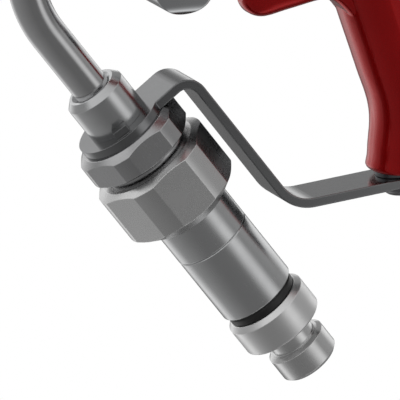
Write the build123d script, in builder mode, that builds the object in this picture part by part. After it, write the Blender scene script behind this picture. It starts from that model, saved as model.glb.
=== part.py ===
from build123d import *
from math import cos, radians, sin, tan
import os

# Hand-held airless paint spray gun with an in-line filter, one part for each physical piece.
# Millimetres, +Z up, -X towards the nozzle. The origin is the middle of the hand grip.

os.makedirs("parts", exist_ok=True)

# ---- driving dimensions -------------------------------------------------------------------

# Barrel: head, needle and receiver share one axis, which runs along X
barrel_height = 64.0
receiver_front = -86.0
receiver_rear = 10.0
receiver_radius = 12.6
head_front = -131.0
seat_face = -119.0

# Fluid line: tube, filter and hose swivel share one axis, which leans back from the vertical.
# Places along it are heights above line_origin, and they grow towards the tube.
line_lean = 38.0
line_origin = (-56.0, 0.0, -44.0)
tube_radius = 4.75
tube_bore = 3.2
tube_foot = 14.0
tube_bend_start = 60.5
tube_bend_radius = 29.0
tube_top = 50.0

sleeve_radius = 8.0
shank_radius = 6.0
sleeve_top = 42.7
eye_top = 31.25
strap_thickness = 2.4
jam_nut_top = eye_top - strap_thickness
jam_nut_foot = 20.9
cap_nut_top = 18.9
cap_nut_foot = 0.6
filter_radius = 10.25
filter_seam = -8.8
filter_foot = -29.0
collar_radius = 11.0
collar_top = -31.1
collar_foot = -40.0
nipple_radius = 8.0
nipple_top = -44.9
nipple_foot = -52.4

# Trigger and its pivot
pivot_x = -50.0
pivot_z = 75.0
pivot_radius = 3.0
cheek_gap = 16.8
finger_gap = 11.6
trigger_wall = 2.3
puller_x = -41.0
puller_radius = 1.5
pin_travel = 3.3

# Trigger lock, a short bar hinged across the trigger's channel
lock_x = -50.5
lock_z = 44.0
lock_length = 19.0
lock_pin_radius = 1.25

# Valve: where the head screws into the receiver, and what it holds
stub_thread = 7.95
stub_end = -70.0
seat_pocket_end = -116.0
packing_radius = 4.4
packing_front = -84.0
gland_radius = 5.9
gland_front = -78.0
chamber_front = -35.0
cap_thread = 8.2
cap_rear = 20.5
cap_foot = 1.0

# Strap spacer
spacer_height = 1.4

# Spray tip and guard
tip_x = -144.0
tip_radius = 5.0
guard_radius = 15.0

# Clearances
running = 0.05
loose = 0.1

# ---- planes and axes ----------------------------------------------------------------------

lean = radians(line_lean)
line_up = (-sin(lean), 0, cos(lean))
line_back = (cos(lean), 0, sin(lean))
line_side = Plane(origin=line_origin, x_dir=line_back, z_dir=(0, -1, 0))
line_cross = Plane(origin=line_origin, x_dir=line_back, z_dir=line_up)
line_axis = Axis(line_origin, line_up)

barrel_side = Plane(origin=(0, 0, barrel_height), x_dir=(0, 0, 1), z_dir=(0, 1, 0))
barrel_cross = Plane(origin=(0, 0, barrel_height), x_dir=(0, 1, 0), z_dir=(1, 0, 0))
barrel_axis = Axis((0, 0, barrel_height), (1, 0, 0))


def line_point(height):
    """Point on the fluid line's axis, as (x, z)."""
    return (line_origin[0] + height * line_up[0], line_origin[2] + height * line_up[2])


bend_x, bend_z = line_point(tube_bend_start)
inlet_x = bend_x - tube_bend_radius * (1 - cos(lean))
inlet_axis = Axis((inlet_x, 0, 0), (0, 0, 1))
inlet_side = Plane(origin=(inlet_x, 0, 0), x_dir=(1, 0, 0), z_dir=(0, -1, 0))
inlet_cross = Plane(origin=(inlet_x, 0, 0), x_dir=(1, 0, 0), z_dir=(0, 0, 1))

# Each turning frame: side plane for outlines of (radius, place), cross plane, axis
line = (line_side, line_cross, line_axis)
barrel = (barrel_side, barrel_cross, barrel_axis)
inlet = (inlet_side, inlet_cross, inlet_axis)


def save(name, piece):
    """Label a finished piece and write its STEP file."""
    piece.part.label = name
    export_step(piece.part, f"parts/{name}.step")


def turned(name, turning, outline):
    """A lathe piece: a closed outline of (radius, place), revolved about the frame's axis."""
    side, cross, axis = turning
    with BuildPart() as piece:
        with BuildSketch(side):
            with BuildLine():
                Polyline(*outline, close=True)
            make_face()
        revolve(axis=axis)
    save(name, piece)


def bore(turning, radius, low, high):
    """Cut a round hole along the frame's axis out of the part being built."""
    side, cross, axis = turning
    with BuildSketch(cross.offset(low)) as hole:
        Circle(radius)
    extrude(hole.sketch, amount=high - low, mode=Mode.SUBTRACT)


def hex_nut(name, turning, flats, corner, turn, span, foot_cone, top_cone, bores):
    """A hexagon nut with its corners turned down to a cylinder.

    span is (foot, top). Each cone is (radius where it starts on the face, slope in degrees
    from the face). bores lists (radius, low end, high end).
    """
    side, cross, axis = turning
    foot, top = span
    foot_rise = (corner - foot_cone[0]) * tan(radians(foot_cone[1]))
    top_drop = (corner - top_cone[0]) * tan(radians(top_cone[1]))
    with BuildPart() as piece:
        with BuildSketch(cross.offset(foot)):
            RegularPolygon(flats / 2, 6, major_radius=False, rotation=turn)
        extrude(amount=top - foot)
        with BuildSketch(side):
            with BuildLine():
                Polyline(
                    (0, foot),
                    (foot_cone[0], foot),
                    (corner, foot + foot_rise),
                    (corner, top - top_drop),
                    (top_cone[0], top),
                    (0, top),
                    close=True,
                )
            make_face()
        revolve(axis=axis, mode=Mode.INTERSECT)
        for radius, low, high in bores:
            bore(turning, radius, low, high)
    save(name, piece)


def spring(name, plane, length, coil_radius, wire_radius, turns):
    """A helical spring standing on the plane."""
    with BuildPart() as piece:
        with BuildLine() as path:
            Helix(length / turns, length, coil_radius, center=plane.origin, direction=plane.z_dir)
        with BuildSketch(Plane(origin=path.line @ 0, z_dir=path.line % 0)):
            Circle(wire_radius)
        sweep(path=path.line, is_frenet=True)
    save(name, piece)


# ---- hose swivel --------------------------------------------------------------------------

stem_radius = 5.0
neck_radius = 6.15
stub_radius = 8.0
stub_foot = collar_top - 4.4
washer_thickness = 0.6
lip_top = collar_foot + 1.8

turned("swivel_stem", line, [
    (2.6, -30.0),
    (stem_radius - 0.4, -30.0),
    (stem_radius, -30.4),
    (stem_radius, -32.0),
    (3.95, -32.0),
    (3.95, -33.4),
    (stem_radius, -33.4),
    (stem_radius, stub_foot - washer_thickness - loose),
    (7.8, stub_foot - washer_thickness - loose),
    (7.8, lip_top + loose),
    (neck_radius, lip_top + loose),
    (neck_radius, nipple_top),
    (nipple_radius - 1.0, nipple_top),
    (nipple_radius, nipple_top - 0.8),
    (nipple_radius, nipple_foot + 0.8),
    (nipple_radius - 0.8, nipple_foot),
    (5.0, nipple_foot),
    (2.6, nipple_foot + 3.2),
])

with BuildPart() as stem_o_ring:
    with BuildSketch(line_side):
        with Locations((4.47, -32.7)):
            Circle(0.5)
    revolve(axis=line_axis)
save("stem_o_ring", stem_o_ring)

turned("swivel_washer", line, [
    (stem_radius + loose, stub_foot),
    (7.7, stub_foot),
    (7.7, stub_foot - washer_thickness),
    (stem_radius + loose, stub_foot - washer_thickness),
])

turned("swivel_seal", line, [
    (stub_radius + loose, filter_foot),
    (9.3, filter_foot),
    (9.55, filter_foot - 0.4),
    (9.55, collar_top + 0.3),
    (9.3, collar_top),
    (stub_radius + loose, collar_top),
])

# The collar screws on to the filter's foot and holds the stem in
turned("swivel_collar", line, [
    (stub_radius + running, collar_top),
    (9.8, collar_top),
    (collar_radius, collar_top - 1.3),
    (collar_radius, collar_foot + 0.4),
    (collar_radius - 0.4, collar_foot),
    (neck_radius + running, collar_foot),
    (neck_radius + running, lip_top),
    (stub_radius + running, lip_top),
])

# ---- in-line filter -----------------------------------------------------------------------

spigot_radius = 8.15
filter_bore = 6.9
thread_radius = 9.2
spigot_foot = -15.0
body_top = 12.2

turned("filter_body_lower", line, [
    (spigot_radius + running, filter_seam),
    (filter_radius - 0.25, filter_seam),
    (filter_radius, filter_seam - 0.25),
    (filter_radius, filter_foot + 0.8),
    (filter_radius - 0.8, filter_foot),
    (stub_radius, filter_foot),
    (stub_radius, stub_foot),
    (stem_radius + running, stub_foot),
    (stem_radius + running, -29.6),
    (3.0, -29.6),
    (3.0, -26.0),
    (filter_bore, -26.0),
    (filter_bore, spigot_foot - 0.2),
    (spigot_radius + running, spigot_foot - 0.2),
])

turned("filter_body_upper", line, [
    (filter_bore, spigot_foot),
    (spigot_radius, spigot_foot),
    (spigot_radius, filter_seam),
    (filter_radius - 0.25, filter_seam),
    (filter_radius, filter_seam + 0.25),
    (filter_radius, 1.2),
    (thread_radius, 1.2),
    (thread_radius, body_top),
    (filter_bore, body_top),
])

turned("filter_element", line, [
    (0, -19.0),
    (5.2, -19.0),
    (5.2, 10.4),
    (6.7, 10.4),
    (6.7, 11.6),
    (4.2, 11.6),
    (4.2, -17.8),
    (0, -17.8),
])

spring("filter_spring", line_cross.offset(-25.4), 5.8, 4.2, 0.5, 3)

turned("filter_gasket", line, [
    (7.0, body_top),
    (9.1, body_top),
    (9.1, body_top + 1.0),
    (7.0, body_top + 1.0),
])


nut_turn = -1.4
hex_nut(
    "filter_cap_nut", line, 30.0, 15.9, nut_turn, (cap_nut_foot, cap_nut_top), (10.7, 36.0), (13.5, 30.0),
    [(filter_radius + loose, cap_nut_foot, 1.3), (thread_radius + running, 1.3, body_top + 1.0),
     (shank_radius + running, body_top + 1.0, cap_nut_top)],
)
hex_nut(
    "jam_nut", line, 27.0, 14.45, nut_turn, (jam_nut_foot, jam_nut_top), (13.0, 30.0), (12.4, 38.0),
    [(shank_radius + running, jam_nut_foot, jam_nut_top)],
)

# Thrust ring between the two nuts, with a rounded rim
ring_middle = (jam_nut_foot + cap_nut_top) / 2
ring_half = (jam_nut_foot - cap_nut_top) / 2
ring_radius = 11.4

with BuildPart() as thrust_ring:
    with BuildSketch(line_side):
        with Locations(((shank_radius + loose + ring_radius) / 2, ring_middle)):
            RectangleRounded(ring_radius - shank_radius - loose, 2 * ring_half, 0.8)
    revolve(axis=line_axis)
save("thrust_ring", thrust_ring)

# ---- tube and its sleeve ------------------------------------------------------------------

turned("tube_sleeve", line, [
    (tube_radius + running, body_top + 0.4),
    (shank_radius, body_top + 0.4),
    (shank_radius, eye_top),
    (sleeve_radius, eye_top),
    (sleeve_radius, sleeve_top - 1.7),
    (sleeve_radius - 1.5, sleeve_top),
    (tube_radius + 1.0, sleeve_top),
    (tube_radius + running, sleeve_top - 0.7),
])

with BuildPart() as fluid_tube:
    foot_x, foot_z = line_point(tube_foot)
    with BuildLine(Plane.XZ) as tube_path:
        Line((foot_x, foot_z), (bend_x, bend_z))
        bend = TangentArc(
            (bend_x, bend_z),
            (inlet_x, bend_z + tube_bend_radius * sin(lean)),
            tangent=(line_up[0], line_up[2]),
        )
        Line(bend @ 1, (inlet_x, tube_top))
    with BuildSketch(line_cross.offset(tube_foot)):
        Circle(tube_radius)
        Circle(tube_bore, mode=Mode.SUBTRACT)
    sweep(path=tube_path.line)
save("fluid_tube", fluid_tube)

# ---- guard strap, its spacer and its screw ------------------------------------------------

strap_width = 15.0
eye_radius = 11.8
strap_offset = 20.0
leg_slope = 7.0
leg_end = 7.5
screw_x = 1.0
upper_bend = 4.6
lower_bend = 10.0
lug_inner = sleeve_radius + running
lug_outer = 10.9
lug_width = 4.0
lug_height = 2.1
lug_angle = 256.8

# Middle line of the strap: out from the eye, down beside the filter, back under the grip
eye_level = eye_top - strap_thickness / 2
leg_level = -41.41
slope = tan(radians(leg_slope))


def line_place(offset, height):
    """Point beside the fluid line's axis, as (x, z)."""
    x, z = line_point(height)
    return (x + offset * line_back[0], z + offset * line_back[2])


corner_x, corner_z = line_place(strap_offset, 0)
leg_drop = (corner_z - (leg_level + slope * (corner_x + 16.25))) / (line_up[2] - slope * line_up[0])
strap_route = [
    line_place(shank_radius + 3.0, eye_level),
    line_place(strap_offset, eye_level),
    line_place(strap_offset, -leg_drop),
    (leg_end, leg_level + slope * (leg_end + 16.25)),
]
screw_z = leg_level + slope * (screw_x + 16.25)
screw_up = (-sin(radians(leg_slope)), 0, cos(radians(leg_slope)))
screw_back = (cos(radians(leg_slope)), 0, sin(radians(leg_slope)))
screw_origin = (screw_x, 0, screw_z)
screw_side = Plane(origin=screw_origin, x_dir=screw_back, z_dir=(0, -1, 0))
screw_cross = Plane(origin=screw_origin, x_dir=screw_back, z_dir=screw_up)
screw_axis = Axis(screw_origin, screw_up)
screw = (screw_side, screw_cross, screw_axis)
screw_radius = 3.0

with BuildPart() as guard_strap:
    with BuildSketch(Plane.XZ):
        with BuildLine():
            strap_line = FilletPolyline(*strap_route, radius=[upper_bend, lower_bend])
            offset(strap_line, amount=strap_thickness / 2, side=Side.BOTH, closed=True)
        make_face()
    extrude(amount=strap_width / 2, both=True)
    side_edges = guard_strap.faces().sort_by(Axis.Y)[0].edges() + guard_strap.faces().sort_by(Axis.Y)[-1].edges()
    chamfer(side_edges, length=0.2)
    with BuildSketch(line_cross.offset(eye_top - strap_thickness)):
        Circle(eye_radius)
    extrude(amount=strap_thickness)
    with BuildSketch(line_cross.offset(eye_top - 2 * strap_thickness)):
        Circle(shank_radius + running)
    extrude(amount=4 * strap_thickness, mode=Mode.SUBTRACT)
    # A lug turned up against the sleeve stops the eye from turning
    with BuildSketch(line_cross.offset(eye_top - 0.5)):
        with PolarLocations((lug_inner + lug_outer) / 2, 1, start_angle=lug_angle):
            Rectangle(lug_outer - lug_inner, lug_width)
    extrude(amount=lug_height + 0.5)
    with BuildSketch(screw_cross.offset(-strap_thickness)):
        Circle(screw_radius + loose)
    extrude(amount=2 * strap_thickness, mode=Mode.SUBTRACT)
save("guard_strap", guard_strap)

turned("strap_spacer", screw, [
    (screw_radius + loose, strap_thickness / 2),
    (6.8, strap_thickness / 2),
    (7.0, strap_thickness / 2 + 0.2),
    (7.0, strap_thickness / 2 + spacer_height - 0.2),
    (6.8, strap_thickness / 2 + spacer_height),
    (screw_radius + loose, strap_thickness / 2 + spacer_height),
])

with BuildPart() as strap_screw:
    with BuildSketch(screw_cross.offset(-strap_thickness / 2)):
        Circle(5.5)
    extrude(amount=-3.0)
    fillet(strap_screw.faces().sort_by(Axis.Z)[0].edges(), radius=2.2)
    with BuildSketch(screw_cross.offset(-strap_thickness / 2)):
        Circle(screw_radius)
    extrude(amount=16)
    with BuildSketch(screw_cross.offset(-strap_thickness / 2 - 3.0)):
        RegularPolygon(2.0, 6, major_radius=False)
    extrude(amount=2.0, mode=Mode.SUBTRACT)
save("strap_screw", strap_screw)

# ---- gun body: grip, receiver and finger hook in one casting -------------------------------

grip_foot = -37.4
grip_top = 58.0
grip_steps = 16
flare_height = -19.7


def grip_section(height):
    """Front, back and half width of the grip: it leans back, flares at its foot and its heel."""
    front = -14.7 - 0.352 * height - 0.098 * max(0.0, flare_height - height) ** 1.5
    back = 16.2 - 0.27 * height + 0.028 * max(0.0, height - 16.0) ** 1.5
    half_width = 10.8 + 0.7 * cos(radians(3.0 * (height - 5.0)))
    return front, back, half_width


slot_front = -65.0
slot_rear = -34.0
slot_half_width = cheek_gap / 2 - 0.4

# Finger hook, from its nose back into the grip: (place, foot, top, width)
hook_sections = [
    (-43.0, 8.6, 11.4, 4.6),
    (-42.3, 7.0, 12.1, 6.6),
    (-40.8, 5.6, 13.0, 8.0),
    (-38.2, 4.8, 14.2, 8.8),
    (-33.4, 5.6, 16.4, 9.2),
    (-28.0, 6.9, 19.4, 9.6),
    (-23.0, 8.1, 24.0, 10.4),
    (-19.0, 7.6, 29.0, 12.0),
    (-15.0, 3.4, 34.0, 14.0),
    (-9.0, -1.0, 38.0, 15.0),
]

with BuildPart() as finger_hook:
    for place, foot, top, width in hook_sections:
        with BuildSketch(Plane.YZ.offset(place)):
            with Locations((0, (foot + top) / 2)):
                RectangleRounded(width, top - foot, 0.49 * min(width, top - foot, 6.0))
    loft()

with BuildPart() as beavertail:
    with BuildSketch(Plane.XZ):
        with BuildLine():
            Spline((4.4, 34.0), (8.0, 43.0), (17.0, 49.4), tangents=((0.1, 1), (1, 0.4)))
            ThreePointArc((17.0, 49.4), (18.2, 51.0), (17.0, 52.4))
            Line((17.0, 52.4), (receiver_rear, 53.0))
            Line((receiver_rear, 53.0), (-6.0, 60.0))
            Line((-6.0, 60.0), (-8.0, 34.0))
            Line((-8.0, 34.0), (4.4, 34.0))
        make_face()
    extrude(amount=7.5, both=True)

with BuildPart() as gun_body:
    for step in range(grip_steps + 1):
        height = grip_foot + (grip_top - grip_foot) * step / grip_steps
        front, back, half_width = grip_section(height)
        with BuildSketch(Plane.XY.offset(height)):
            with Locations(((front + back) / 2, 0)):
                RectangleRounded(back - front, 2 * half_width, 0.9 * half_width)
    loft()
    fillet(gun_body.faces().sort_by(Axis.Z)[0].edges(), radius=1.4)

    add(finger_hook.part)
    add(beavertail.part)

    # Receiver: a round barrel with a raised bridge over the trigger's pivot
    with BuildSketch(barrel_cross.offset(receiver_front)):
        Circle(receiver_radius)
    extrude(amount=receiver_rear - receiver_front)
    with BuildSketch(Plane.XZ):
        with BuildLine():
            Polyline(
                (-70.0, barrel_height), (-70.0, 74.0), (-58.0, 83.0), (-42.0, 83.0), (-20.0, 74.0),
                (-20.0, barrel_height), close=True,
            )
        make_face()
        fillet(vertices().group_by(Axis.Y)[-1], radius=6.0)
    extrude(amount=slot_half_width, both=True)

    # Slots for the trigger's cheeks, on both sides of a web that carries the pivot
    for side in (-1, 1):
        with BuildSketch(Plane.XZ.offset(side * slot_half_width)):
            with Locations(((slot_front + slot_rear) / 2, barrel_height)):
                RectangleRounded(slot_rear - slot_front, 50.0, 4.0)
        extrude(amount=side * 20.0, mode=Mode.SUBTRACT)

    # Bores: head thread, needle passage, spring chamber, cap thread
    bore(barrel, stub_thread + running, receiver_front, stub_end + 0.5)
    bore(barrel, 3.0, stub_end, chamber_front)
    bore(barrel, 6.5, chamber_front, receiver_rear)
    bore(barrel, cap_thread + running, cap_foot, receiver_rear)
    with BuildSketch(Plane.XZ.offset(-20)):
        with Locations((pivot_x, pivot_z)):
            Circle(pivot_radius + running)
        with Locations((puller_x + pin_travel / 2, barrel_height)):
            SlotCenterToCenter(pin_travel + 0.4, 2 * puller_radius + 0.4)
    extrude(amount=40, mode=Mode.SUBTRACT)

    # Spot face and thread for the strap screw
    bore(screw, 11.5, -12.0, strap_thickness / 2 + spacer_height)
    bore(screw, screw_radius + running, 0, 18.0)
save("gun_body", gun_body)

# ---- fluid head and its valve -------------------------------------------------------------

boss_radius = 9.5
boss_foot = 45.8
boss_thread = 8.5
boss_end = 38.0
nose_thread = 11.1
nose_root = -118.0
seat_pocket = 8.0

with BuildPart() as fluid_head:
    with BuildSketch(barrel_side):
        with BuildLine():
            Polyline(
                (0, head_front),
                (nose_thread - 0.8, head_front),
                (nose_thread, head_front + 0.8),
                (nose_thread, nose_root - 1.2),
                (nose_thread - 1.0, nose_root - 1.2),
                (nose_thread - 1.0, nose_root),
                (12.0, nose_root),
                (13.0, nose_root + 1.0),
                (13.0, receiver_front - 1.5),
                (12.2, receiver_front),
                (stub_thread, receiver_front),
                (stub_thread, stub_end),
                (0, stub_end),
                close=True,
            )
        make_face()
    revolve(axis=barrel_axis)
    with BuildSketch(inlet_cross.offset(boss_end)):
        Circle(boss_thread)
    extrude(amount=barrel_height - boss_end)
    with BuildSketch(inlet_cross.offset(boss_foot)):
        Circle(boss_radius)
    extrude(amount=barrel_height - boss_foot)
    bore(barrel, seat_pocket, head_front, seat_pocket_end)
    bore(barrel, 5.0, seat_pocket_end, -88.0)
    bore(barrel, 3.4, -88.0, packing_front)
    bore(barrel, packing_radius + running, packing_front, stub_end)
    bore(barrel, gland_radius + running, gland_front, stub_end)
    bore(inlet, tube_radius + running, boss_end, tube_top + 0.2)
    bore(inlet, tube_bore, tube_top, barrel_height)
save("fluid_head", fluid_head)

hex_nut(
    "tube_nut", inlet, 22.0, 12.3, 0.0, (31.5, 45.6), (10.4, 30.0), (10.6, 30.0),
    [(tube_radius + loose, 31.5, 34.0), (7.2, 34.0, 37.8), (boss_thread + running, 37.8, 45.6)],
)

turned("tube_ferrule", inlet, [
    (tube_radius + running, 34.1),
    (6.4, 34.1),
    (7.1, 35.2),
    (7.1, 36.4),
    (5.4, boss_end - 0.05),
    (tube_radius + running, boss_end - 0.05),
])

ball_radius = 1.9
seat_hole = 1.4
ball_x = seat_face + (ball_radius ** 2 - seat_hole ** 2) ** 0.5 + 0.01
needle_radius = 1.6
stem_thickness = 2.6
collar_front = -34.0
collar_rear = -31.5
needle_rear = 12.0

turned("seat_housing", barrel, [
    (3.4, head_front + 0.2),
    (7.2, head_front + 0.2),
    (seat_pocket - loose, head_front + 0.9),
    (seat_pocket - loose, seat_pocket_end - 1.0),
    (4.05, seat_pocket_end - 1.0),
    (4.05, seat_face - 2.0),
    (2.2, seat_face - 2.0),
])

turned("needle_seat", barrel, [
    (seat_hole, seat_face - 1.2),
    (2.0, seat_face - 1.95),
    (4.0, seat_face - 1.95),
    (4.0, seat_face),
    (seat_hole, seat_face),
])

turned("seat_gasket", barrel, [
    (5.4, seat_pocket_end - 1.0),
    (7.8, seat_pocket_end - 1.0),
    (7.8, seat_pocket_end),
    (5.4, seat_pocket_end),
])

with BuildPart() as needle_ball:
    with Locations((ball_x, 0, barrel_height)):
        Sphere(ball_radius)
save("needle_ball", needle_ball)

with BuildPart() as needle_rod:
    with BuildSketch(barrel_side):
        with BuildLine():
            Polyline(
                (0, ball_x + 2.0),
                (1.33, ball_x + 2.0),
                (1.33, ball_x + 1.4),
                (needle_radius, ball_x + 1.4),
                (needle_radius, -65.0),
                (stem_thickness, -64.0),
                (stem_thickness, collar_front),
                (5.6, collar_front),
                (5.6, collar_rear),
                (2.0, collar_rear),
                (2.0, needle_rear - 0.5),
                (1.5, needle_rear),
                (0, needle_rear),
                close=True,
            )
        make_face()
    revolve(axis=barrel_axis)
    with BuildSketch(Plane.XZ.offset(-10)):
        with Locations((puller_x, barrel_height)):
            Circle(puller_radius + 0.02)
    extrude(amount=20, mode=Mode.SUBTRACT)
save("needle_rod", needle_rod)

with BuildPart() as puller_pin:
    pin_half = cheek_gap / 2 + trigger_wall - 0.4
    with BuildSketch(Plane.XZ.offset(-pin_half)):
        with Locations((puller_x, barrel_height)):
            Circle(puller_radius)
    extrude(amount=2 * pin_half)
    chamfer(puller_pin.edges().filter_by(GeomType.CIRCLE), length=0.3)
save("puller_pin", puller_pin)

turned("needle_packing", barrel, [
    (needle_radius + running, packing_front),
    (packing_radius, packing_front),
    (packing_radius, gland_front),
    (needle_radius + running, gland_front),
])

with BuildPart() as packing_nut:
    with BuildSketch(barrel_cross.offset(gland_front)):
        Circle(gland_radius)
        Circle(needle_radius + 0.3, mode=Mode.SUBTRACT)
    extrude(amount=stub_end - 0.5 - gland_front)
    with BuildSketch(barrel_cross.offset(stub_end - 2.0)):
        Rectangle(2 * gland_radius + 1, 1.6)
    extrude(amount=2.0, mode=Mode.SUBTRACT)
save("packing_nut", packing_nut)

spring_wire = 0.6
spring_rear = 11.0
spring(
    "needle_spring", barrel_cross.offset(collar_rear + spring_wire + 0.1),
    spring_rear - collar_rear - 2 * spring_wire - 0.2, 4.3, spring_wire, 9,
)

with BuildPart() as rear_cap:
    with BuildSketch(barrel_side):
        with BuildLine():
            Polyline(
                (0, cap_foot + 0.1),
                (cap_thread, cap_foot + 0.1),
                (cap_thread, receiver_rear),
                (9.6, receiver_rear),
                (10.4, receiver_rear + 0.8),
                (10.4, cap_rear - 3.0),
                (8.8, cap_rear - 0.8),
                (0, cap_rear),
                close=True,
            )
        make_face()
    revolve(axis=barrel_axis)
    with BuildSketch(barrel_cross.offset(receiver_rear + 1.6)):
        with PolarLocations(10.8, 18):
            Circle(0.9)
    extrude(amount=14, mode=Mode.SUBTRACT)
    bore(barrel, 5.8, cap_foot, spring_rear)
    bore(barrel, 2.0 + running, spring_rear, needle_rear + pin_travel + 1.0)
save("rear_cap", rear_cap)

# ---- trigger, its pivot and its lock ------------------------------------------------------

cheek_outer = cheek_gap / 2 + trigger_wall
finger_outer = finger_gap / 2 + trigger_wall
yoke_foot = 50.5
blade_top = 40.0
trigger_foot = 7.6

with BuildPart() as channel:
    with BuildSketch(Plane.XZ):
        with BuildLine():
            Line((-25.0, 96.0), (-75.0, 96.0))
            Line((-75.0, 96.0), (-75.0, yoke_foot))
            Line((-75.0, yoke_foot), (-56.0, yoke_foot))
            Spline((-56.0, yoke_foot), (-57.6, 38.0), (-60.0, 25.0), (-63.0, 14.0))
            Line((-63.0, 14.0), (-61.6, 12.6))
            Line((-61.6, 12.6), (-61.6, 0.0))
            Line((-61.6, 0.0), (-25.0, 0.0))
            Line((-25.0, 0.0), (-25.0, 96.0))
        make_face()
    extrude(amount=20, both=True)
    with BuildSketch(Plane.YZ.offset(-80)):
        with BuildLine():
            Polyline(
                (-cheek_gap / 2, 98), (-cheek_gap / 2, yoke_foot), (-finger_gap / 2, blade_top),
                (-finger_gap / 2, -2), (finger_gap / 2, -2), (finger_gap / 2, blade_top),
                (cheek_gap / 2, yoke_foot), (cheek_gap / 2, 98), close=True,
            )
        make_face()
    extrude(amount=60, mode=Mode.INTERSECT)

with BuildPart() as trigger:
    with BuildSketch(Plane.XZ):
        with BuildLine():
            ThreePointArc((-57.0, pivot_z), (pivot_x, pivot_z + 7.0), (-43.0, pivot_z))
            Line((-43.0, pivot_z), (puller_x - puller_radius - running, 68.0))
            Line((puller_x - puller_radius - running, 68.0), (puller_x - puller_radius - running, 59.0))
            Spline(
                (puller_x - puller_radius - running, 59.0), (-45.6, 46.0), (-49.0, 30.0), (-52.4, 13.6),
                tangents=((0, -1), (-0.3, -1)),
            )
            ThreePointArc((-52.4, 13.6), (-60.6, trigger_foot), (-67.9, 12.6))
            Line((-67.9, 12.6), (-67.4, 13.8))
            Spline(
                (-67.4, 13.8), (-62.8, 25.0), (-60.2, 38.0), (-58.6, 52.0), (-57.0, pivot_z),
                tangents=((0.45, 1), (0, 1)),
            )
        make_face()
    extrude(amount=cheek_outer, both=True)
    with BuildSketch(Plane.YZ.offset(-80)):
        with BuildLine():
            Polyline(
                (-finger_outer + 0.4, trigger_foot - 0.5), (-finger_outer, blade_top),
                (-cheek_outer, yoke_foot), (-cheek_outer, 90), (cheek_outer, 90),
                (cheek_outer, yoke_foot), (finger_outer, blade_top),
                (finger_outer - 0.4, trigger_foot - 0.5), close=True,
            )
        make_face()
        fillet(vertices().group_by(Axis.Y)[0], radius=3.4)
    extrude(amount=60, mode=Mode.INTERSECT)
    add(channel.part, mode=Mode.SUBTRACT)
    with BuildSketch(Plane.XZ.offset(-20)):
        with Locations((pivot_x, pivot_z)):
            Circle(pivot_radius + running)
        with Locations((lock_x, lock_z)):
            Circle(lock_pin_radius + running)
    extrude(amount=40, mode=Mode.SUBTRACT)
save("trigger", trigger)

with BuildPart() as pivot_screw:
    with BuildSketch(Plane.XZ.offset(-cheek_outer - 3.4)):
        with Locations((pivot_x, pivot_z)):
            Circle(pivot_radius)
    extrude(amount=2 * cheek_outer + 3.6)
    with BuildSketch(Plane.XZ.offset(cheek_outer + 0.2)):
        with Locations((pivot_x, pivot_z)):
            Circle(5.2)
    extrude(amount=2.6)
    fillet(pivot_screw.faces().sort_by(Axis.Y)[0].edges(), radius=1.6)
    with BuildSketch(Plane.XZ.offset(cheek_outer + 1.2)):
        with Locations((pivot_x, pivot_z)):
            RegularPolygon(1.5, 6, major_radius=False)
    extrude(amount=3.0, mode=Mode.SUBTRACT)
save("pivot_screw", pivot_screw)

with BuildPart() as pivot_nut:
    with BuildSketch(Plane.XZ.offset(-cheek_outer - 3.0)):
        with Locations((pivot_x, pivot_z)):
            RegularPolygon(5.0, 6, major_radius=False)
            Circle(pivot_radius + running, mode=Mode.SUBTRACT)
    extrude(amount=2.8)
    chamfer(pivot_nut.faces().sort_by(Axis.Y)[-1].outer_wire().edges(), length=0.4)
save("pivot_nut", pivot_nut)

with BuildPart() as trigger_lock:
    with BuildSketch(Plane.XZ):
        with Locations((lock_x, lock_z)):
            Circle(3.0)
        with Locations((lock_x, lock_z - lock_length / 2)):
            Rectangle(3.2, lock_length)
    extrude(amount=finger_gap / 2 - 1.3, both=True)
    chamfer(trigger_lock.faces().sort_by(Axis.Z)[0].edges(), length=0.8)
    with BuildSketch(Plane.XZ.offset(-20)):
        with Locations((lock_x, lock_z)):
            Circle(lock_pin_radius + running)
    extrude(amount=40, mode=Mode.SUBTRACT)
save("trigger_lock", trigger_lock)

with BuildPart() as lock_pin:
    with BuildSketch(Plane.XZ.offset(-finger_outer - 0.6)):
        with Locations((lock_x, lock_z)):
            Circle(lock_pin_radius)
    extrude(amount=2 * finger_outer + 1.2)
save("lock_pin", lock_pin)

# ---- spray tip and guard ------------------------------------------------------------------

guard_flange = 13.0
lip_radius = 11.5
nut_front = -136.2
lip_back = -134.2
guard_rear = -131.4
guard_front = -153.0
wing_tip = -171.0
seal_radius = 6.9

with BuildPart() as guard_nut:
    with BuildSketch(barrel_side):
        with BuildLine():
            Polyline(
                (lip_radius, nut_front),
                (14.6, nut_front),
                (16.0, nut_front + 1.4),
                (16.0, -121.0),
                (15.0, -119.6),
                (nose_thread + running, -119.6),
                (nose_thread + running, guard_rear + 0.2),
                (guard_flange + loose, guard_rear + 0.2),
                (guard_flange + loose, lip_back),
                (lip_radius, lip_back),
                close=True,
            )
        make_face()
    revolve(axis=barrel_axis)
    with BuildSketch(barrel_cross.offset(nut_front)):
        with PolarLocations(18.6, 8):
            Circle(3.8)
    extrude(amount=20, mode=Mode.SUBTRACT)
save("guard_nut", guard_nut)

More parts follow.
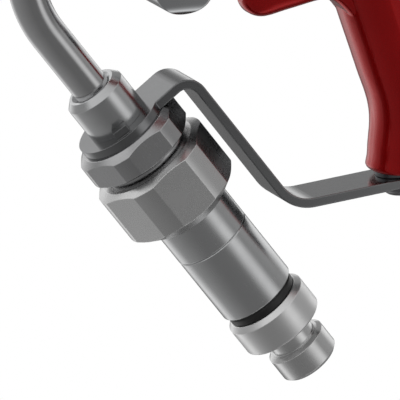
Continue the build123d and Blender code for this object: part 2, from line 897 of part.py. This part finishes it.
with BuildPart() as tip_guard:
    with BuildSketch(barrel_side):
        with BuildLine():
            Polyline(
                (0, guard_front),
                (9.0, guard_front),
                (guard_radius, guard_front + 5.0),
                (guard_radius, nut_front - 1.0),
                (guard_radius - 0.8, nut_front - 0.2),
                (lip_radius - 0.08, nut_front - 0.2),
                (lip_radius - 0.08, lip_back + 0.1),
                (guard_flange, lip_back + 0.1),
                (guard_flange, guard_rear),
                (0, guard_rear),
                close=True,
            )
        make_face()
    revolve(axis=barrel_axis)

    # Two wings, left and right of the fan, keep a hand away from the orifice
    for side in (-1, 1):
        with BuildSketch(Plane.XY.offset(barrel_height - 8.0)):
            with BuildLine():
                Line((-140.0, side * 9.0), (-152.0, side * 9.0))
                Spline((-152.0, side * 9.0), (-158.0, side * 13.6), (wing_tip, side * 18.2))
                Line((wing_tip, side * 18.2), (wing_tip, side * 21.4))
                Spline((wing_tip, side * 21.4), (-156.0, side * 18.4), (-140.0, side * 14.4))
                Line((-140.0, side * 14.4), (-140.0, side * 9.0))
            make_face()
        extrude(amount=16.0)
    bore(barrel, 3.2, guard_front, -140.0)
    bore(barrel, seal_radius + loose, tip_x + 4.0, guard_rear)
    with BuildSketch(Plane.XY.offset(barrel_height - 9.5)):
        with Locations((tip_x, 0)):
            Circle(tip_radius + running)
    extrude(amount=40.0, mode=Mode.SUBTRACT)
save("tip_guard", tip_guard)

turned("tip_seal", barrel, [
    (2.6, tip_x + 5.2),
    (seal_radius - 1.0, tip_x + 5.2),
    (seal_radius, tip_x + 6.2),
    (seal_radius, head_front - 0.6),
    (2.6, head_front - 0.6),
])

tip_top = 82.0
with BuildPart() as spray_tip:
    with BuildSketch(Plane.XY.offset(barrel_height - 9.0)):
        with Locations((tip_x, 0)):
            Circle(tip_radius)
    extrude(amount=tip_top - barrel_height + 9.0)
    chamfer(spray_tip.edges().filter_by(GeomType.CIRCLE).sort_by(Axis.Z)[0], length=0.6)
    bore(barrel, 1.0, tip_x - 6.0, tip_x + 6.0)
save("spray_tip", spray_tip)

with BuildPart() as tip_handle:
    with BuildSketch(Plane.XZ):
        with BuildLine():
            Polyline(
                (tip_x + 6.0, tip_top), (tip_x + 6.0, tip_top + 12.0), (tip_x - 7.0, tip_top + 12.0),
                (tip_x - 14.0, tip_top + 6.0), (tip_x - 7.0, tip_top), close=True,
            )
        make_face()
        fillet(vertices(), radius=1.4)
    extrude(amount=2.6, both=True)
    fillet(tip_handle.faces().sort_by(Axis.Y)[0].edges(), radius=0.7)
    fillet(tip_handle.faces().sort_by(Axis.Y)[-1].edges(), radius=0.7)
save("tip_handle", tip_handle)
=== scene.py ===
import bpy
import math
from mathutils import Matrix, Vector


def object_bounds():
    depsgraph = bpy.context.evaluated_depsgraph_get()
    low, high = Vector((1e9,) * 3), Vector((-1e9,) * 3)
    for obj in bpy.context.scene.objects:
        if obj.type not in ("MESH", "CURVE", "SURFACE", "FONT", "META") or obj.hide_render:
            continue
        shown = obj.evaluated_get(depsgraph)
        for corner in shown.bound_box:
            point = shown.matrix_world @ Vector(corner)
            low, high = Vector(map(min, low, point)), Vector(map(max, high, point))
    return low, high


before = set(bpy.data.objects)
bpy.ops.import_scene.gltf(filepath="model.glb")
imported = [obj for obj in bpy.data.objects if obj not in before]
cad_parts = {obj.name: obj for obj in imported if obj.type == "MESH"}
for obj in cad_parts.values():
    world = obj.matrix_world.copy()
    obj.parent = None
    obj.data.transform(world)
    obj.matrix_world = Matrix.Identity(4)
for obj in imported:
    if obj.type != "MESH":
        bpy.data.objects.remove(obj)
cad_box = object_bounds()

MM = 0.001

# ---- the gun's own directions --------------------------------------------------------------

# The fluid line leans back from the vertical; its foot is the hose nipple
LINE_LEAN = math.radians(38.0)
LINE_ORIGIN = Vector((-56.0, 0.0, -44.0)) * MM
LINE_UP = Vector((-math.sin(LINE_LEAN), 0.0, math.cos(LINE_LEAN)))
BARREL = Vector((1.0, 0.0, 0.0))
UPRIGHT = Vector((0.0, 0.0, 1.0))

# ---- camera --------------------------------------------------------------------------------

VIEW_AZIMUTH = math.radians(-20.0)
VIEW_ELEVATION = math.radians(13.0)
VIEW_TARGET = LINE_ORIGIN + Vector((2.5, 0.0, 2.7)) * MM
VIEW_WIDTH = 100.0 * MM
LENS = 600.0
SENSOR = 36.0


def direction(azimuth, elevation):
    """Unit vector from the object towards a viewer at that azimuth and elevation."""
    return Vector((
        math.sin(azimuth) * math.cos(elevation),
        -math.cos(azimuth) * math.cos(elevation),
        math.sin(elevation),
    ))


def make_camera():
    """A long lens on the lower half of the gun: the fluid line, the strap and the grip's foot."""
    data = bpy.data.cameras.new("camera")
    data.lens = LENS
    data.sensor_width = SENSOR
    data.clip_start = 0.05
    data.clip_end = 40.0
    camera = bpy.data.objects.new("camera", data)
    bpy.context.scene.collection.objects.link(camera)
    back = direction(VIEW_AZIMUTH, VIEW_ELEVATION)
    camera.location = VIEW_TARGET + back * (VIEW_WIDTH * LENS / SENSOR)
    camera.rotation_mode = "QUATERNION"
    camera.rotation_quaternion = (-back).to_track_quat("-Z", "Y")
    bpy.context.scene.camera = camera


# ---- node helper ---------------------------------------------------------------------------

class Nodes:
    """Short calls for building one node tree."""

    def __init__(self, tree):
        self.tree = tree

    def add(self, kind, **settings):
        node = self.tree.nodes.new("ShaderNode" + kind)
        for key, value in settings.items():
            setattr(node, key, value)
        return node

    def put(self, socket, value):
        """Link an output to a socket, or set the socket to a plain value."""
        if isinstance(value, bpy.types.NodeSocket):
            self.tree.links.new(value, socket)
        elif value is not None:
            socket.default_value = value

    def maths(self, operation, a, b=None):
        node = self.add("Math", operation=operation)
        self.put(node.inputs[0], a)
        self.put(node.inputs[1], b)
        return node.outputs[0]

    def ramp(self, factor, stops):
        """A ramp of greys; each stop is (place, grey level)."""
        node = self.add("ValToRGB")
        self.put(node.inputs[0], factor)
        points = node.color_ramp.elements
        while len(points) > 1:
            points.remove(points[-1])
        for index, (place, level) in enumerate(stops):
            point = points[0] if index == 0 else points.new(place)
            point.position = place
            point.color = (level, level, level, 1)
        return node.outputs[0]

    def spread(self, value, low, high, new_low, new_high):
        """Map a value from one range to another."""
        node = self.add("MapRange")
        for socket, number in zip(node.inputs, (value, low, high, new_low, new_high)):
            self.put(socket, number)
        return node.outputs[0]

    def mix(self, factor, a, b):
        """A colour between a and b, each an output or (red, green, blue, 1)."""
        node = self.add("Mix", data_type="RGBA")
        self.put(node.inputs["Factor"], factor)
        self.put(node.inputs[6], a)
        self.put(node.inputs[7], b)
        return node.outputs[2]

    def noise(self, vector, scale, detail=3.0, roughness=0.55):
        node = self.add("TexNoise")
        self.put(node.inputs["Vector"], vector)
        self.put(node.inputs["Scale"], scale)
        self.put(node.inputs["Detail"], detail)
        self.put(node.inputs["Roughness"], roughness)
        return node.outputs["Fac"]

    def stretch(self, vector, axis, along, across):
        """Coordinates scaled by one factor along an axis and by another across it."""
        node = self.add("Mapping", vector_type="POINT")
        turn = axis.rotation_difference(UPRIGHT).to_euler("XYZ")
        self.put(node.inputs["Vector"], vector)
        self.put(node.inputs["Rotation"], turn)
        scale = self.add("VectorMath", operation="MULTIPLY")
        self.put(scale.inputs[0], node.outputs[0])
        self.put(scale.inputs[1], (across, across, along))
        return scale.outputs[0]

    def bump(self, height, distance, strength=1.0, normal=None):
        node = self.add("Bump")
        self.put(node.inputs["Height"], height)
        self.put(node.inputs["Distance"], distance)
        self.put(node.inputs["Strength"], strength)
        self.put(node.inputs["Normal"], normal)
        return node.outputs[0]

    def edges(self, radius):
        """Rounded normals at the edges, and how much they turn: 0 on a face, 1 on an edge."""
        soft = self.add("Bevel", samples=6)
        self.put(soft.inputs["Radius"], radius)
        plain = self.add("NewGeometry")
        dot = self.add("VectorMath", operation="DOT_PRODUCT")
        self.put(dot.inputs[0], soft.outputs[0])
        self.put(dot.inputs[1], plain.outputs["Normal"])
        turned = self.spread(dot.outputs["Value"], 0.985, 0.90, 0.0, 1.0)
        return soft.outputs[0], turned


def new_material(name):
    """A new material: itself, its node helper, its Principled shader and object coordinates."""
    material = bpy.data.materials.new(name)
    material.use_nodes = True
    nodes = Nodes(material.node_tree)
    shader = material.node_tree.nodes["Principled BSDF"]
    coords = nodes.add("TexCoord").outputs["Object"]
    return material, nodes, shader, coords


# ---- light ---------------------------------------------------------------------------------

# A plain studio, by azimuth in degrees from the camera's side: a white backdrop behind, whose
# light fades round the left, plain grey in front, and one soft strip light to the right
BACKDROP = 1.1
FRONT_GREY = 0.2
SIDE_GREY = 0.25
BACK_GREY = 0.35
STRIP_LIGHT = 0.9
STRIP_AZIMUTH = 60
STRIP_HALF = 5
STRIP_SOFTNESS = 15

STRIP = [
    (STRIP_AZIMUTH - STRIP_HALF - STRIP_SOFTNESS, FRONT_GREY),
    (STRIP_AZIMUTH - STRIP_HALF, STRIP_LIGHT),
    (STRIP_AZIMUTH + STRIP_HALF, STRIP_LIGHT),
    (STRIP_AZIMUTH + STRIP_HALF + STRIP_SOFTNESS, SIDE_GREY),
]
AROUND = [(-150, BACKDROP), (-110, 2 * FRONT_GREY), (0, FRONT_GREY)] + STRIP + [(115, SIDE_GREY)]
HORIZON_BANDS = [(-180, BACKDROP)] + AROUND + [(130, BACKDROP), (180, BACKDROP)]
FLOOR_BANDS = [(-180, FRONT_GREY), (-165, FRONT_GREY)] + AROUND + [(180, FRONT_GREY)]
OVERHEAD_BANDS = [(-180, BACK_GREY), (-165, BACK_GREY), (-150, BACKDROP), (150, BACK_GREY)]

# How far up the even overhead light starts, and where it is all there is
HORIZON_RISE = (0.15, 0.30)

FLOOR_DROP = 90.0 * MM
FLOOR_HALF = 12.0


def studio_level(nodes, vector, bands):
    """Brightness of the studio in the direction of a vector, by its azimuth alone."""
    split = nodes.add("SeparateXYZ")
    nodes.put(split.inputs[0], vector)
    back = nodes.maths("MULTIPLY", split.outputs["Y"], -1.0)
    turn = nodes.maths("ARCTAN2", split.outputs["X"], back)
    turn = nodes.maths("SUBTRACT", turn, VIEW_AZIMUTH)
    turn = nodes.maths("FRACT", nodes.maths("ADD", nodes.maths("DIVIDE", turn, 2 * math.pi), 0.5))
    return nodes.ramp(turn, [(angle / 360 + 0.5, level) for angle, level in bands])


def white_to_camera(nodes, level):
    """White where the backdrop is seen directly, the studio's level where it lights the gun."""
    return nodes.mix(nodes.add("LightPath").outputs["Is Camera Ray"], level, (1.0, 1.0, 1.0, 1))


def make_world():
    """The studio above the floor, soft and even overhead."""
    world = bpy.data.worlds.new("studio")
    world.use_nodes = True
    bpy.context.scene.world = world
    world.node_tree.nodes.clear()
    nodes = Nodes(world.node_tree)
    look = nodes.add("TexCoord").outputs["Generated"]
    split = nodes.add("SeparateXYZ")
    nodes.put(split.inputs[0], look)
    rise = nodes.spread(split.outputs["Z"], *HORIZON_RISE, 0.0, 1.0)
    horizon = studio_level(nodes, look, HORIZON_BANDS)
    level = nodes.mix(rise, horizon, studio_level(nodes, look, OVERHEAD_BANDS))
    background = nodes.add("Background")
    nodes.put(background.inputs[0], white_to_camera(nodes, level))
    output = nodes.add("OutputWorld")
    nodes.put(output.inputs[0], background.outputs[0])


def make_floor():
    """A wide pale floor a little below the gun, which hangs as if held. It is not lit but glows: white
    to the camera, and towards the gun with painted studio light by azimuth.
    """
    mesh = bpy.data.meshes.new("floor")
    level = cad_box[0].z - FLOOR_DROP
    corners = [(FLOOR_HALF * x, FLOOR_HALF * y, level) for x, y in ((-1, -1), (1, -1), (1, 1), (-1, 1))]
    mesh.from_pydata(corners, [], [(0, 1, 2, 3)])
    floor = bpy.data.objects.new("floor", mesh)
    bpy.context.scene.collection.objects.link(floor)
    material = bpy.data.materials.new("floor_glow")
    material.use_nodes = True
    material.node_tree.nodes.clear()
    nodes = Nodes(material.node_tree)
    centre = nodes.add("VectorMath", operation="SUBTRACT")
    nodes.put(centre.inputs[0], nodes.add("TexCoord").outputs["Object"])
    nodes.put(centre.inputs[1], LINE_ORIGIN)
    # Painted light: the floor's glow towards the gun, by azimuth from the fluid line
    brightness = studio_level(nodes, centre.outputs[0], FLOOR_BANDS)
    glow = nodes.add("Emission")
    nodes.put(glow.inputs[0], white_to_camera(nodes, brightness))
    nodes.put(nodes.add("OutputMaterial").inputs[0], glow.outputs[0])
    mesh.materials.append(material)


# ---- materials -----------------------------------------------------------------------------

def metal(name, colour, roughness, axis=None, rings=0.0, wear_and_highlight=0.35, grain=0.6, edge=0.25):
    """Bare metal. With an axis it was turned: fine tool rings run round that axis.

    rings is the depth of the tool marks in micrometres, wear_and_highlight how much brighter the edges
    are (part wear, part painted highlight), grain how strong the stains and scratches are, and edge the
    edges' radius in mm.
    """
    material, nodes, shader, coords = new_material(name)
    soft, turned = nodes.edges(edge * MM)
    cloud = nodes.noise(coords, 160.0, 4.0)
    speckle = nodes.noise(coords, 2600.0, 2.0)
    along = axis or UPRIGHT
    marks = nodes.noise(nodes.stretch(coords, along, 9000.0, 60.0), 1.0, 2.0, 0.6)
    scratch_field = nodes.noise(nodes.stretch(coords, along, 260.0, 5200.0), 1.0, 2.0, 0.5)
    scratches = nodes.spread(scratch_field, 0.66, 0.74, 0.0, 1.0)

    dark = tuple(0.86 * c for c in colour)
    # Brighter colour for the edges: part worn metal, part painted highlight
    light = tuple(min(1.0, (1.0 + wear_and_highlight) * c) for c in colour)
    tone = nodes.mix(nodes.spread(cloud, 0.35, 0.65, 0.0, 0.55 * grain), (*colour, 1), (*dark, 1))
    tone = nodes.mix(nodes.spread(marks, 0.3, 0.7, 0.0, 0.25 * grain), tone, (*dark, 1))
    tone = nodes.mix(turned, tone, (*light, 1))
    nodes.put(shader.inputs["Base Color"], tone)
    shader.inputs["Metallic"].default_value = 1.0

    rough = nodes.spread(cloud, 0.3, 0.7, roughness * (1 - 0.16 * grain), roughness * (1 + 0.18 * grain))
    rough = nodes.maths("ADD", rough, nodes.spread(speckle, 0.3, 0.7, -0.02 * grain, 0.02 * grain))
    rough = nodes.maths("ADD", rough, nodes.maths("MULTIPLY", scratches, 0.10 * grain))
    nodes.put(shader.inputs["Roughness"], rough)

    normal = nodes.bump(speckle, 0.0004 * MM * grain, 0.5, soft)
    if rings:
        normal = nodes.bump(marks, rings * 0.001 * MM, 1.0, normal)
    normal = nodes.bump(scratches, -0.0008 * MM * grain, 0.5, normal)
    nodes.put(shader.inputs["Normal"], normal)
    return material


RED_DEEP = (0.36, 0.0015, 0.002, 1)
RED_FULL = (0.44, 0.003, 0.004, 1)
RED_FLAKE = (0.62, 0.006, 0.008, 1)
RED_EDGE_WEAR_AND_HIGHLIGHT = (0.7, 0.03, 0.03, 1)


def red_coat(name):
    """Deep red gloss enamel over a casting: orange peel, a clear skin, thin and worn at the edges, which
    are painted a brighter red, part wear and part painted highlight.
    """
    material, nodes, shader, coords = new_material(name)
    soft, turned = nodes.edges(0.5 * MM)
    peel = nodes.noise(coords, 380.0, 1.0, 0.3)
    cloud = nodes.noise(coords, 45.0, 3.0)
    flake = nodes.add("TexVoronoi")
    nodes.put(flake.inputs["Vector"], coords)
    nodes.put(flake.inputs["Scale"], 5200.0)
    sparkle = nodes.spread(flake.outputs["Color"], 0.0, 1.0, 0.0, 0.28)
    tone = nodes.mix(nodes.spread(cloud, 0.3, 0.7, 0.0, 1.0), RED_DEEP, RED_FULL)
    tone = nodes.mix(sparkle, tone, RED_FLAKE)
    # Brighter red on the edges: part wear, part painted highlight
    tone = nodes.mix(nodes.maths("MULTIPLY", turned, 0.35), tone, RED_EDGE_WEAR_AND_HIGHLIGHT)
    nodes.put(shader.inputs["Base Color"], tone)
    shader.inputs["Metallic"].default_value = 0.6
    shader.inputs["Specular IOR Level"].default_value = 0.2
    dust = nodes.noise(coords, 1500.0, 3.0)
    nodes.put(shader.inputs["Roughness"], nodes.spread(dust, 0.3, 0.7, 0.20, 0.27))
    shader.inputs["Coat Weight"].default_value = 0.3
    shader.inputs["Coat Roughness"].default_value = 0.025
    nodes.put(shader.inputs["Normal"], nodes.bump(peel, 0.006 * MM, 0.4, soft))
    nodes.put(shader.inputs["Coat Normal"], nodes.bump(peel, 0.003 * MM, 0.4, soft))
    return material


def plastic(name, colour, roughness, texture=0.02, wear_and_highlight=0.5):
    """Moulded plastic or rubber with a fine spark-eroded grain, and edges painted lighter: part rubbed
    wear, part painted highlight.
    """
    material, nodes, shader, coords = new_material(name)
    soft, turned = nodes.edges(0.3 * MM)
    grain = nodes.noise(coords, 2400.0, 3.0, 0.6)
    cloud = nodes.noise(coords, 90.0, 4.0)
    dusty = tuple(min(1.0, c * 1.5 + 0.012) for c in colour)
    rubbed = tuple(min(1.0, c * (1 + wear_and_highlight) + 0.03 * wear_and_highlight) for c in colour)
    tone = nodes.mix(nodes.spread(cloud, 0.4, 0.75, 0.0, 0.6), (*colour, 1), (*dusty, 1))
    # Lighter edges: part rubbed wear, part painted highlight
    tone = nodes.mix(nodes.maths("MULTIPLY", turned, 0.7), tone, (*rubbed, 1))
    nodes.put(shader.inputs["Base Color"], tone)
    rough = nodes.spread(cloud, 0.3, 0.7, roughness * 0.88, roughness * 1.12)
    rough = nodes.maths("SUBTRACT", rough, nodes.maths("MULTIPLY", turned, 0.12))
    nodes.put(shader.inputs["Roughness"], rough)
    nodes.put(shader.inputs["Normal"], nodes.bump(grain, texture * MM, 0.6, soft))
    return material


def screen_mesh(name):
    """Woven wire cloth: round wires over and under, tilted with the fluid line, with painted shade where
    the wires dip.
    """
    material, nodes, shader, coords = new_material(name)
    weave = nodes.stretch(coords, LINE_UP, 1.0, 1.0)
    heights = []
    for axis in ("X", "Z"):
        wave = nodes.add("TexWave", bands_direction=axis)
        nodes.put(wave.inputs["Vector"], weave)
        nodes.put(wave.inputs["Scale"], 900.0)
        heights.append(wave.outputs["Fac"])
    height = nodes.maths("MAXIMUM", *heights)
    # Colour by the weave's height: painted shade, dark where the wires dip
    nodes.put(shader.inputs["Base Color"], nodes.ramp(height, [(0.2, 0.04), (0.8, 0.6)]))
    nodes.put(shader.inputs["Roughness"], nodes.spread(height, 0.0, 1.0, 0.6, 0.3))
    shader.inputs["Metallic"].default_value = 1.0
    nodes.put(shader.inputs["Normal"], nodes.bump(height, 0.05 * MM))
    return material


STEEL = (0.56, 0.565, 0.57)


def finish(material, *names):
    """Give CAD nodes their material."""
    for name in names:
        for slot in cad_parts[name].material_slots:
            slot.material = material


def finish_fluid_line():
    """Tube, sleeve, nuts, filter and hose swivel: steel, each turned and polished its own way."""
    finish(metal("tube_steel", (0.52, 0.52, 0.525), 0.17, LINE_UP, grain=0.7), "fluid_tube")
    line_steel = metal("line_steel", STEEL, 0.21, LINE_UP, rings=1.2)
    finish(line_steel, "tube_sleeve", "filter_body_upper", "filter_body_lower")
    jam_steel = metal("jam_steel", (0.44, 0.44, 0.445), 0.24, LINE_UP, rings=0.5, edge=0.3)
    finish(jam_steel, "jam_nut", "thrust_ring")
    nut_steel = metal("nut_steel", (0.62, 0.62, 0.62), 0.27, LINE_UP, rings=0.5, edge=0.3)
    finish(nut_steel, "filter_cap_nut")
    collar_steel = metal("collar_steel", (0.76, 0.76, 0.76), 0.32, LINE_UP, rings=1.4, edge=0.3)
    finish(collar_steel, "swivel_collar")
    finish(metal("nipple_steel", (0.68, 0.68, 0.68), 0.24, LINE_UP, rings=1.0), "swivel_stem")
    finish(screen_mesh("screen"), "filter_element")


def finish_gun():
    """Enamelled body, chromed trigger, steel strap, head and screws, and the lock."""
    finish(red_coat("red"), "gun_body")
    finish(metal("chrome", (0.58, 0.59, 0.60), 0.07, UPRIGHT, grain=0.45, edge=0.6), "trigger")
    strap_steel = metal("strap_steel", (0.21, 0.212, 0.216), 0.18, UPRIGHT, grain=0.5, edge=0.3)
    finish(strap_steel, "guard_strap")
    barrel_steel = metal("barrel_steel", STEEL, 0.22, BARREL, rings=1.0)
    finish(barrel_steel, "fluid_head", "tube_nut", "rear_cap")
    finish(barrel_steel, "seat_housing", "needle_rod", "spray_tip")
    dark_steel = metal("dark_steel", (0.20, 0.20, 0.21), 0.30, UPRIGHT, edge=0.3, wear_and_highlight=0.9)
    finish(dark_steel, "strap_spacer", "strap_screw", "pivot_screw", "pivot_nut")
    finish(dark_steel, "puller_pin", "lock_pin")
    finish(plastic("lock_black", (0.022, 0.022, 0.024), 0.45, 0.03), "trigger_lock")
    finish(plastic("black", (0.018, 0.018, 0.02), 0.40, 0.03), "guard_nut", "tip_guard")
    finish(plastic("handle_black", (0.02, 0.02, 0.022), 0.36, 0.02), "tip_handle")


def finish_inside():
    """Ferrule, springs, seat and seals, hidden inside the others."""
    finish(metal("brass", (0.72, 0.50, 0.22), 0.26, UPRIGHT, rings=0.8), "tube_ferrule", "packing_nut")
    finish(metal("spring_steel", (0.5, 0.5, 0.5), 0.28), "filter_spring", "needle_spring")
    carbide = metal("carbide", (0.22, 0.22, 0.23), 0.16, BARREL, rings=0.3)
    finish(carbide, "needle_seat", "needle_ball")
    rubber = plastic("rubber", (0.008, 0.008, 0.008), 0.42, 0.015)
    finish(rubber, "filter_gasket", "swivel_seal", "stem_o_ring", "tip_seal")
    white = plastic("white", (0.78, 0.78, 0.75), 0.42)
    finish(white, "swivel_washer", "seat_gasket", "needle_packing")


make_camera()
make_world()
make_floor()
finish_fluid_line()
finish_gun()
finish_inside()
bpy.context.scene.view_settings.view_transform = "Standard"
